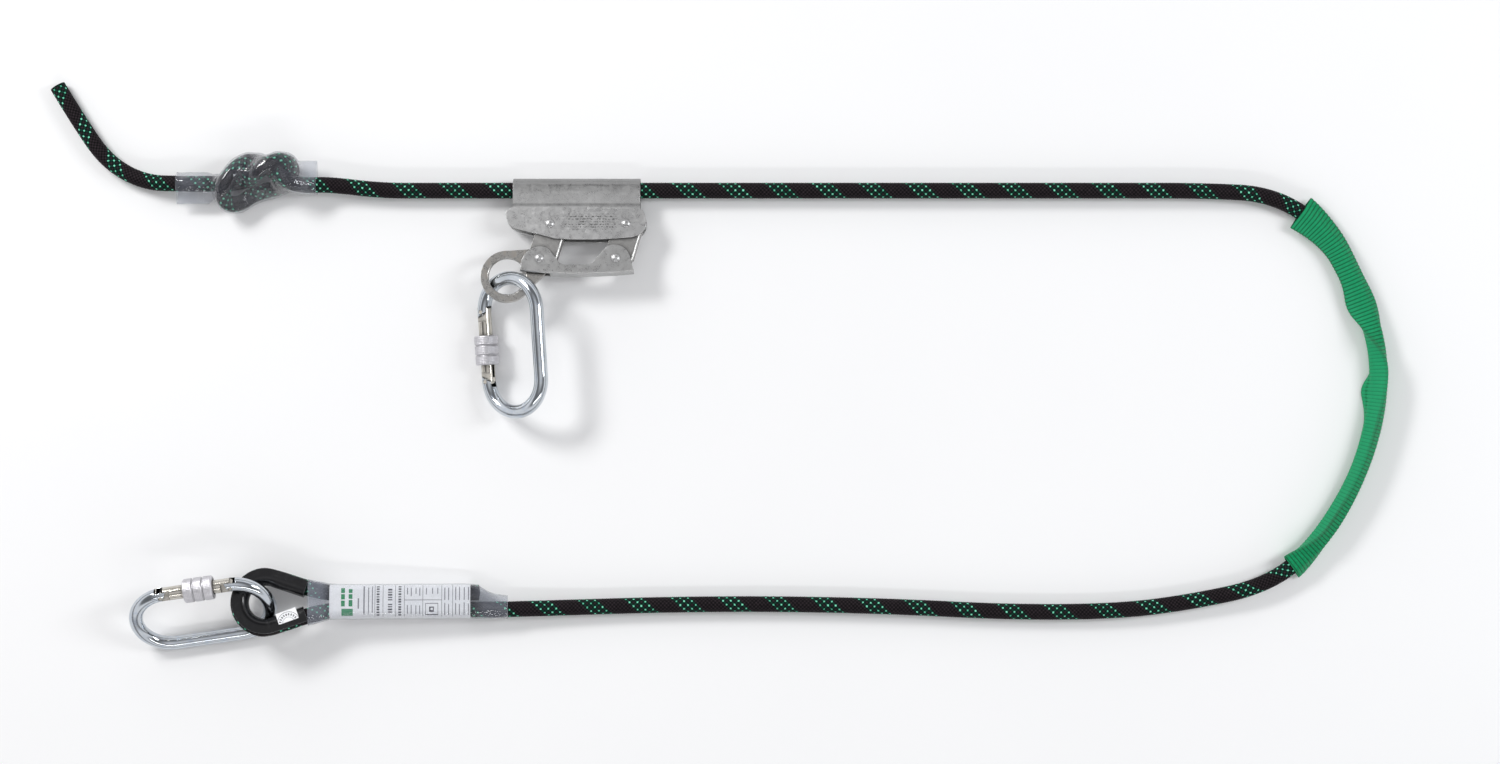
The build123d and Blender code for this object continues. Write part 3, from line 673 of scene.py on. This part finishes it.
def paper_material(name, green):
    s = Shader(name, (0.86, 0.87, 0.88), 0.42)
    ink = s.attribute("ink")
    paper = s.mix(s.noise(60.0, 4.0, 0.6), (0.84, 0.85, 0.87), (0.93, 0.93, 0.94))
    grey = s.mix(s.span(ink, 0.25, 0.95), (0.26, 0.26, 0.28), (0.03, 0.03, 0.04))
    colour = s.mix(s.span(ink, 0.1, 0.2), paper, grey)
    if green:
        is_green = s.math("MULTIPLY", s.math("GREATER_THAN", ink, 0.45),
                          s.math("LESS_THAN", ink, 0.52))
        colour = s.mix(is_green, colour, (0.015, 0.27, 0.10))
    s.set(Base_Color=colour)
    s.bump(s.noise(900.0, 3.0, 0.6), 0.00008, 0.3)
    return s.mat


label_mat = paper_material("label_print", True)
sticker_mat = paper_material("sticker_print", False)
label()

# --------------------------------------------------------------- webbing sleeve
WEAR_TOP, WEAR_LOW = (681.5, 151.0), (676.0, -115.0)    # its two ends on the rope
WEAR_ROWS = 0.40                # distance between rows of the mesh
RIB_DEPTH = 0.32
WEBBING_WALL = 0.8
RIB = 2.8                       # one rib of the webbing
RIB_CUT = 0.5                   # half width of the groove between two ribs
# along the sleeve from its upper end (0 to 1): reach and angle of each fold, in degrees
# from the outside of the bend, over the top
WEAR_FOLDS = [(0.00, 13.3, 182, 13.0, -6), (0.07, 11.0, 182, 9.8, -8), (0.15, 8.6, 180, 8.2, -10),
              (0.22, 8.0, 172, 8.4, -14), (0.28, 12.0, 188, 9.3, -10), (0.32, 8.4, 160, 8.6, -24),
              (0.37, 9.4, 112, 8.0, -50), (0.42, 10.0, 68, 8.0, -90), (0.46, 10.2, 64, 8.6, -120),
              (0.50, 10.2, 73, 13.2, -158), (0.54, 10.0, 80, 9.0, -140), (0.60, 9.9, 87, 7.6, -120),
              (0.70, 9.9, 95, 7.4, -100), (0.80, 9.9, 98, 7.4, -90), (0.90, 10.0, 101, 8.2, -40),
              (1.00, 11.0, 150, 11.2, -24)]


def webbing_material():
    s = Shader("green_webbing", (0.0, 0.36, 0.17), 0.58, Specular_IOR_Level=0.16,
               Sheen_Weight=0.03, Sheen_Roughness=0.4)
    rib, stretch_and_light = s.attribute("rib"), s.attribute("stretch_and_light")
    weave = s.noise(1900.0, 2.0, 0.5)
    cloud = s.noise(30.0, 3.0, 0.6)
    thread = s.noise(700.0, 2.0, 0.5)
    # painted shade: the grooves between the ribs (low) are painted far darker than the ribs (high)
    low = s.mix(cloud, (0.000, 0.048, 0.018), (0.000, 0.080, 0.030))
    high = s.mix(s.span(thread, 0.35, 0.65), (0.000, 0.215, 0.076), (0.003, 0.285, 0.108))
    # partly stretched fibres, partly painted light: paler on the side towards the inside of the bend
    high = s.mix(stretch_and_light, high, (0.012, 0.305, 0.128))
    colour = s.mix(s.span(rib, 0.0, 0.75), low, high)
    colour = s.mix(s.attribute("selvedge"), colour, (0.030, 0.060, 0.035))
    s.set(Base_Color=colour, Roughness=s.span(weave, 0.3, 0.7, 0.48, 0.70))
    s.bump(s.math("ADD", weave, thread), 0.00018, 0.5)
    return s.mat


def wear_sleeve():
    """Tubular webbing slack over the rope: round or flat as its two folds turn."""
    bend = lanyard_line[:, 0] > 600
    top = np.linalg.norm(lanyard_line[:, :2] - np.array(WEAR_TOP), axis=1)
    low = np.linalg.norm(lanyard_line[:, :2] - np.array(WEAR_LOW), axis=1)
    s = lengths(lanyard_line)
    start, end = s[np.where(bend, top, 1e9).argmin()], s[np.where(bend, low, 1e9).argmin()]
    rows = int(abs(start - end) / WEAR_ROWS)
    where = np.linspace(start, end, rows)
    spots = at_distances(lanyard_line, where)
    tangent = np.gradient(spots, axis=0)
    tangent /= np.linalg.norm(tangent, axis=1)[:, None]
    out = np.cross(np.array([0, 0, 1.0]), tangent)
    out *= np.sign(out[len(out) // 2, 0])
    t = np.linspace(0, 1, rows)
    keys = np.array(WEAR_FOLDS)
    soft = np.ones(41) / 41
    folds = [np.convolve(np.pad(np.interp(t, keys[:, 0], keys[:, k]), 20, "edge"), soft, "valid")
             for k in (1, 2, 3, 4)]
    count = 72
    rings, ribs, selvedge, stretch_and_light_rows = [], [], [], []
    for k in range(rows):
        d1, a1, d2, a2 = (f[k] for f in folds)
        a1, a2 = radians(a1), radians(a2)
        blobs = [(0, 0, 6.35), (d1 * cos(a1), d1 * sin(a1), 0.6), (d2 * cos(a2), d2 * sin(a2), 0.6)]
        ring = hull_ring([(y, max(z, 1.6 - spots[k, 2]), r) for y, z, r in blobs], count, 0.5)
        swell = 0.35 * sin(k * 0.021) * np.sin(np.arange(count) * 2 * pi / count * 2 + k * 0.008)
        length = np.linalg.norm(ring, axis=1, keepdims=True)
        ring = ring * (1 + swell[:, None] / length)
        groove = abs((k * WEAR_ROWS + RIB / 2) % RIB - RIB / 2) / RIB_CUT
        turned = np.clip((a1 - np.arctan2(ring[:, 1], ring[:, 0])) / 0.12, 0, 1)
        folded = min(1.0, max(0.0, (t[k] - 0.33) / 0.05))
        stretch = folded * (1 - turned * (ring[:, 1] > -2))
        depth = np.exp(-groove ** 2) * (1 - 0.4 * stretch)
        ring = ring * (1 - RIB_DEPTH * depth[:, None] / length)
        tip = np.minimum(np.hypot(ring[:, 0] - d1 * cos(a1), ring[:, 1] - d1 * sin(a1)),
                         np.hypot(ring[:, 0] - d2 * cos(a2), ring[:, 1] - d2 * sin(a2)))
        selvedge.append(np.clip(1.5 - tip / 1.0, 0, 1) * 0.8)
        # 1 on the ribs, 0 deep in the grooves; the material paints shade into the grooves from it
        ribs.append(1 - depth)
        # partly stretched fibres, partly painted light: paler past the fold once the sleeve lies
        # flat, and across the round upper part the further in towards the bend's inside
        stretch_and_light_rows.append(0.8 * stretch + (1 - folded) * np.clip(0.45 - ring[:, 0] / 22, 0, 0.9))
        rings.append(spots[k] + out[k] * ring[:, :1] + np.array([0, 0, 1.0]) * ring[:, 1:])
    rings = np.array(rings)
    rings[..., 2] = np.maximum(rings[..., 2], 0.35)
    obj = shell("wear_webbing", rings * MM, inset(rings, WEBBING_WALL) * MM, [webbing_mat])
    for key, value in (("rib", ribs), ("selvedge", selvedge), ("stretch_and_light", stretch_and_light_rows)):
        both = np.concatenate([np.ravel(value), np.ravel(value)])
        obj.data.attributes.new(key, "FLOAT", "POINT").data.foreach_set("value", both)
    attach(obj, "lanyard")
    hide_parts("wear_sleeve")
    return obj, rows * WEAR_ROWS


webbing_mat = webbing_material()
webbing, webbing_length = wear_sleeve()


# ------------------------------------------------------------- metal and plastic
# in the grab's own frame, in millimetres from the rope's line
RIDGE_LOW, RIDGE_TOP = -4.0, 8.0        # painted shade: the ridge is painted darker between these, most at the top
WALL_TOP, WALL_BRIGHT = -13.2, -14.6    # painted highlight: the wall is painted lighter from the first of these down to the second, and evenly below
# middle and half width of the painted shade along the crease
CREASE_LINE, CREASE_HALF = -12.4, 1.3
STAMP_X, STAMP_Y, STAMP_ROW = (-9.0, 30.0), (-31.5, -19.5), 2.0


def housing_shade_and_marks(s, colour):
    """Painted shade darkening the ridge towards its top, a painted highlight on the
    wall below, painted shade along the crease, and a worn field of stamped dashes on the cheek."""
    at, turn, _ = GRAB_FRAME.decompose()
    local = s.node("ShaderNodeMapping", [
        ("Vector", s.where), ("Location", tuple(at)), ("Rotation", tuple(turn.to_euler()))],
        vector_type="TEXTURE").outputs[0]
    split = s.node("ShaderNodeSeparateXYZ", [(0, local)])
    x, y = split.outputs["X"], split.outputs["Y"]

    def inside(value, low, high, soft):
        up = s.span(value, (low - soft) * MM, (low + soft) * MM)
        return s.math("MULTIPLY", up, s.span(value, (high + soft) * MM, (high - soft) * MM))

    # painted shade: the ridge is painted darker towards its top
    colour = s.mix(s.span(y, RIDGE_LOW * MM, RIDGE_TOP * MM, 0.0, 0.75), colour,
                   (0.21, 0.21, 0.21))
    # painted highlight: the wall below the crease is painted lighter
    colour = s.mix(s.span(y, WALL_TOP * MM, WALL_BRIGHT * MM, 0.0, 0.34), colour,
                   (0.80, 0.80, 0.80))
    # painted shade: a dark line along the crease, broken up by noise
    line = s.math("MULTIPLY", inside(y, CREASE_LINE, CREASE_LINE, CREASE_HALF),
                  s.noise(240.0, 3.0, 0.6))
    colour = s.mix(s.math("MULTIPLY", line, 3.0, True), colour, (0.10, 0.10, 0.10))
    rows = s.math("GREATER_THAN", s.math("SINE", s.math("MULTIPLY", y, 2 * pi / (STAMP_ROW * MM))),
                  -0.1)
    dash = s.span(s.noise(760.0, 2.0, 0.5), 0.50, 0.56)
    field = s.math("MULTIPLY", inside(x, *STAMP_X, 3.0), inside(y, *STAMP_Y, 1.5))
    dashes = s.math("MULTIPLY", s.math("MULTIPLY", rows, dash), field)
    return s.mix(s.math("MULTIPLY", dashes, 0.8), colour, (0.10, 0.10, 0.10))


steel = metal("satin_steel", (0.50, 0.50, 0.495), 0.33, 0.55)
housing_steel = metal("housing_steel", (0.50, 0.50, 0.495), 0.33, 0.55, marks=housing_shade_and_marks)
ring_steel = metal("ring_steel", (0.45, 0.44, 0.42), 0.30, 0.55, (0.36, 0.30, 0.25))
link_steel = metal("link_steel", (0.42, 0.415, 0.405), 0.34, 0.55)
cam_steel = metal("cam_steel", (0.30, 0.30, 0.31), 0.42, 0.5)
rivet_steel = metal("rivet_steel", (0.52, 0.52, 0.52), 0.36, 0.4)
zinc = metal("bright_zinc", (0.55, 0.585, 0.62), 0.11, 0.25, (0.42, 0.49, 0.61))
nickel = metal("warm_nickel", (0.60, 0.575, 0.52), 0.12, 0.25, (0.40, 0.355, 0.29))
spring_steel = metal("spring_steel", (0.42, 0.42, 0.43), 0.25, 0.3)
knurl_steel = metal("knurled_steel", (0.66, 0.65, 0.68), 0.40, 0.5)

PAINTED = {
    housing_steel: ("grab_housing",), steel: ("lower_bar",), link_steel: ("front_link", "rear_link"),
    ring_steel: ("ring_arm",), cam_steel: ("front_cam", "rear_cam"),
    rivet_steel: ("front_upper_rivet", "rear_upper_rivet", "front_lower_rivet",
                  "rear_lower_rivet"),
    zinc: ("grab_carabiner_body", "eye_carabiner_body"),
    nickel: ("grab_carabiner_gate", "grab_carabiner_hinge_pin", "grab_carabiner_latch_pin",
             "eye_carabiner_gate", "eye_carabiner_hinge_pin", "eye_carabiner_latch_pin"),
    spring_steel: ("cam_spring", "grab_carabiner_gate_spring", "eye_carabiner_gate_spring")}
for mat, names in PAINTED.items():
    for node in names:
        paint(node, mat)


def thimble_material():
    s = Shader("thimble_plastic", (0.004, 0.004, 0.005), 0.2, Specular_IOR_Level=0.5)
    scuff = s.noise(90.0, 4.0, 0.65, distort=0.6)
    fine = s.noise(1300.0, 3.0, 0.6)
    colour = s.mix(s.span(scuff, 0.5, 0.75), (0.003, 0.003, 0.004), (0.012, 0.012, 0.014))
    # painted highlight: the thimble's sharp edges are painted lighter grey
    s.set(Base_Color=s.mix(s.math("MULTIPLY", s.edges(0.0008), 0.8), colour, (0.16, 0.16, 0.17)))
    s.set(Roughness=s.span(scuff, 0.35, 0.7, 0.13, 0.30))
    s.bump(fine, 0.00006, 0.25, 0.0006)
    return s.mat


def thread_material():
    s = Shader("sewing_thread", (0.75, 0.75, 0.73), 0.7)
    twist = s.node("ShaderNodeTexWave", [("Vector", s.where), ("Scale", 260.0),
                                         ("Distortion", 2.0)], wave_type="BANDS").outputs["Fac"]
    s.set(Base_Color=s.mix(twist, (0.42, 0.42, 0.41), (0.80, 0.80, 0.78)))
    s.bump(twist, 0.0002, 0.8)
    return s.mat


paint("thimble", thimble_material())
paint("eye_stitching", thread_material())


# ---------------------------------------------------------------- knurled sleeve
KNURL_TURNS, KNURL_SLOPE, KNURL_DEPTH = 24, 2.62, 0.20     # waves a turn, radians a mm, mm
GROOVE_HALF, GROOVE_DEPTH = 0.75, 0.75
LAND = 0.2                      # the knurled bands lie this far inside the CAD sleeve


def knurled_sleeve(name, node, body, matrix):
    """Turned sleeve with diamond knurling, two smooth grooves and chamfered rims."""
    count, half = 192, SLEEVE_L / 2
    profile = [(-half + 0.02, SLEEVE_IN + 0.05), (-half + 0.02, SLEEVE_OUT - 1.0),
               (-half + 0.3, SLEEVE_OUT - 0.55), (-half + 0.8, SLEEVE_OUT - 0.22)]
    land = np.arange(-half + 1.1, half - 1.05, 0.3)
    profile += [(y, SLEEVE_OUT - LAND) for y in land]
    profile += [(half - 0.8, SLEEVE_OUT - 0.22), (half - 0.3, SLEEVE_OUT - 0.55),
                (half - 0.02, SLEEVE_OUT - 1.0), (half - 0.02, SLEEVE_IN + 0.05)]
    turn = np.arange(count) * 2 * pi / count
    rings = []
    for y, r in profile:
        groove = min(abs(y - SLEEVE_L / 6), abs(y + SLEEVE_L / 6))
        on_land = r > SLEEVE_OUT - LAND - 0.01
        if on_land and groove < GROOVE_HALF:
            sunk = GROOVE_DEPTH * min(1.0, (GROOVE_HALF - groove) / 0.35)
            radius = np.full(count, SLEEVE_OUT - LAND - sunk)
        elif on_land:
            around, along = KNURL_TURNS * turn, KNURL_SLOPE * y
            radius = r + KNURL_DEPTH * np.cos(around + along) * np.cos(around - along)
        else:
            radius = np.full(count, r)
        rings.append(np.column_stack([radius * np.cos(turn) - BOW_R, np.full(count, y + SLEEVE_AT),
                                      -radius * np.sin(turn)]))
    rings = np.array(rings)
    faces = ring_faces(len(rings) + 1, count)
    total = len(rings) * count
    faces = [tuple(v % total for v in f) for f in faces]
    obj = mesh_object(name, rings.reshape(-1, 3) * MM, faces, [knurl_steel])
    place(obj, matrix)
    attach(obj, body)
    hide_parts(node)


knurled_sleeve("grab_knurled_sleeve", "grab_carabiner_screw_sleeve", "grab_carabiner_sleeve",
               GRAB_CARABINER)
knurled_sleeve("eye_knurled_sleeve", "eye_carabiner_screw_sleeve", "eye_carabiner_sleeve",
               EYE_CARABINER)


# ---------------------------------------------------------------------- sticker
def sticker():
    """Inspection sticker on the thimble, slightly curled, with plain rings of marks."""
    w, h, nx, ny = 15.5, 8.4, 62, 34
    us, vs = np.meshgrid(np.linspace(-w / 2, w / 2, nx), np.linspace(-h / 2, h / 2, ny))
    lift = 0.06 + 0.35 * (np.abs(us) / (w / 2)) ** 4
    top = np.stack([us, vs, lift + 0.12], 2).reshape(-1, 3)
    low = np.stack([us, vs, lift], 2).reshape(-1, 3)
    verts = np.concatenate([top, low])
    base = nx * ny
    faces = []
    for r in range(ny - 1):
        for c in range(nx - 1):
            a = r * nx + c
            faces.append((a, a + 1, a + nx + 1, a + nx))
            faces.append((base + a, base + a + nx, base + a + nx + 1, base + a + 1))
    for c in range(nx - 1):
        b = (ny - 1) * nx + c
        faces.append((base + c, base + c + 1, c + 1, c))
        faces.append((b, b + 1, base + b + 1, base + b))
    for r in range(ny - 1):
        a, b = r * nx, r * nx + nx - 1
        faces.append((a, a + nx, base + a + nx, base + a))
        faces.append((base + b, base + b + nx, b + nx, b))
    obj = mesh_object("sticker_sheet", verts * MM, faces, [sticker_mat])
    centres = np.array([p.center for p in obj.data.polygons]) / MM
    along, across = centres[:, 0] + 0.5, centres[:, 1] + h / 2 + 1.0
    r, a = np.hypot(along, across), np.degrees(np.arctan2(across, along))
    ink = np.where((np.abs(r - 8.2) < 0.16) | (np.abs(r - 4.4) < 0.14), 0.9, 0.0)
    ink = np.where((np.abs(r - 6.3) < 0.85) & (a % 17 < 8), 0.8, ink)
    obj.data.attributes.new("ink", "FLOAT", "FACE").data.foreach_set("value", ink)
    place(obj, EYE_FRAME @ frame_of(16.8, -11.4, 7.25, ("Z", 20.0)))
    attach(obj, "lanyard")
    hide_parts("inspection_sticker")


sticker()


# ------------------------------------------------------------------------ floor
def floor():
    s = Shader("pale_floor", (0.86, 0.86, 0.86), 0.75)
    tone = s.noise(1.6, 4.0, 0.6)
    s.set(Base_Color=s.mix(tone, (0.85, 0.85, 0.855), (0.90, 0.90, 0.90)))
    half = 4.0
    verts = [(-half, -half, 0), (half, -half, 0), (half, half, 0), (-half, half, 0)]
    mesh_object("floor", verts, [(0, 1, 2, 3)], [s.mat], False)


floor()
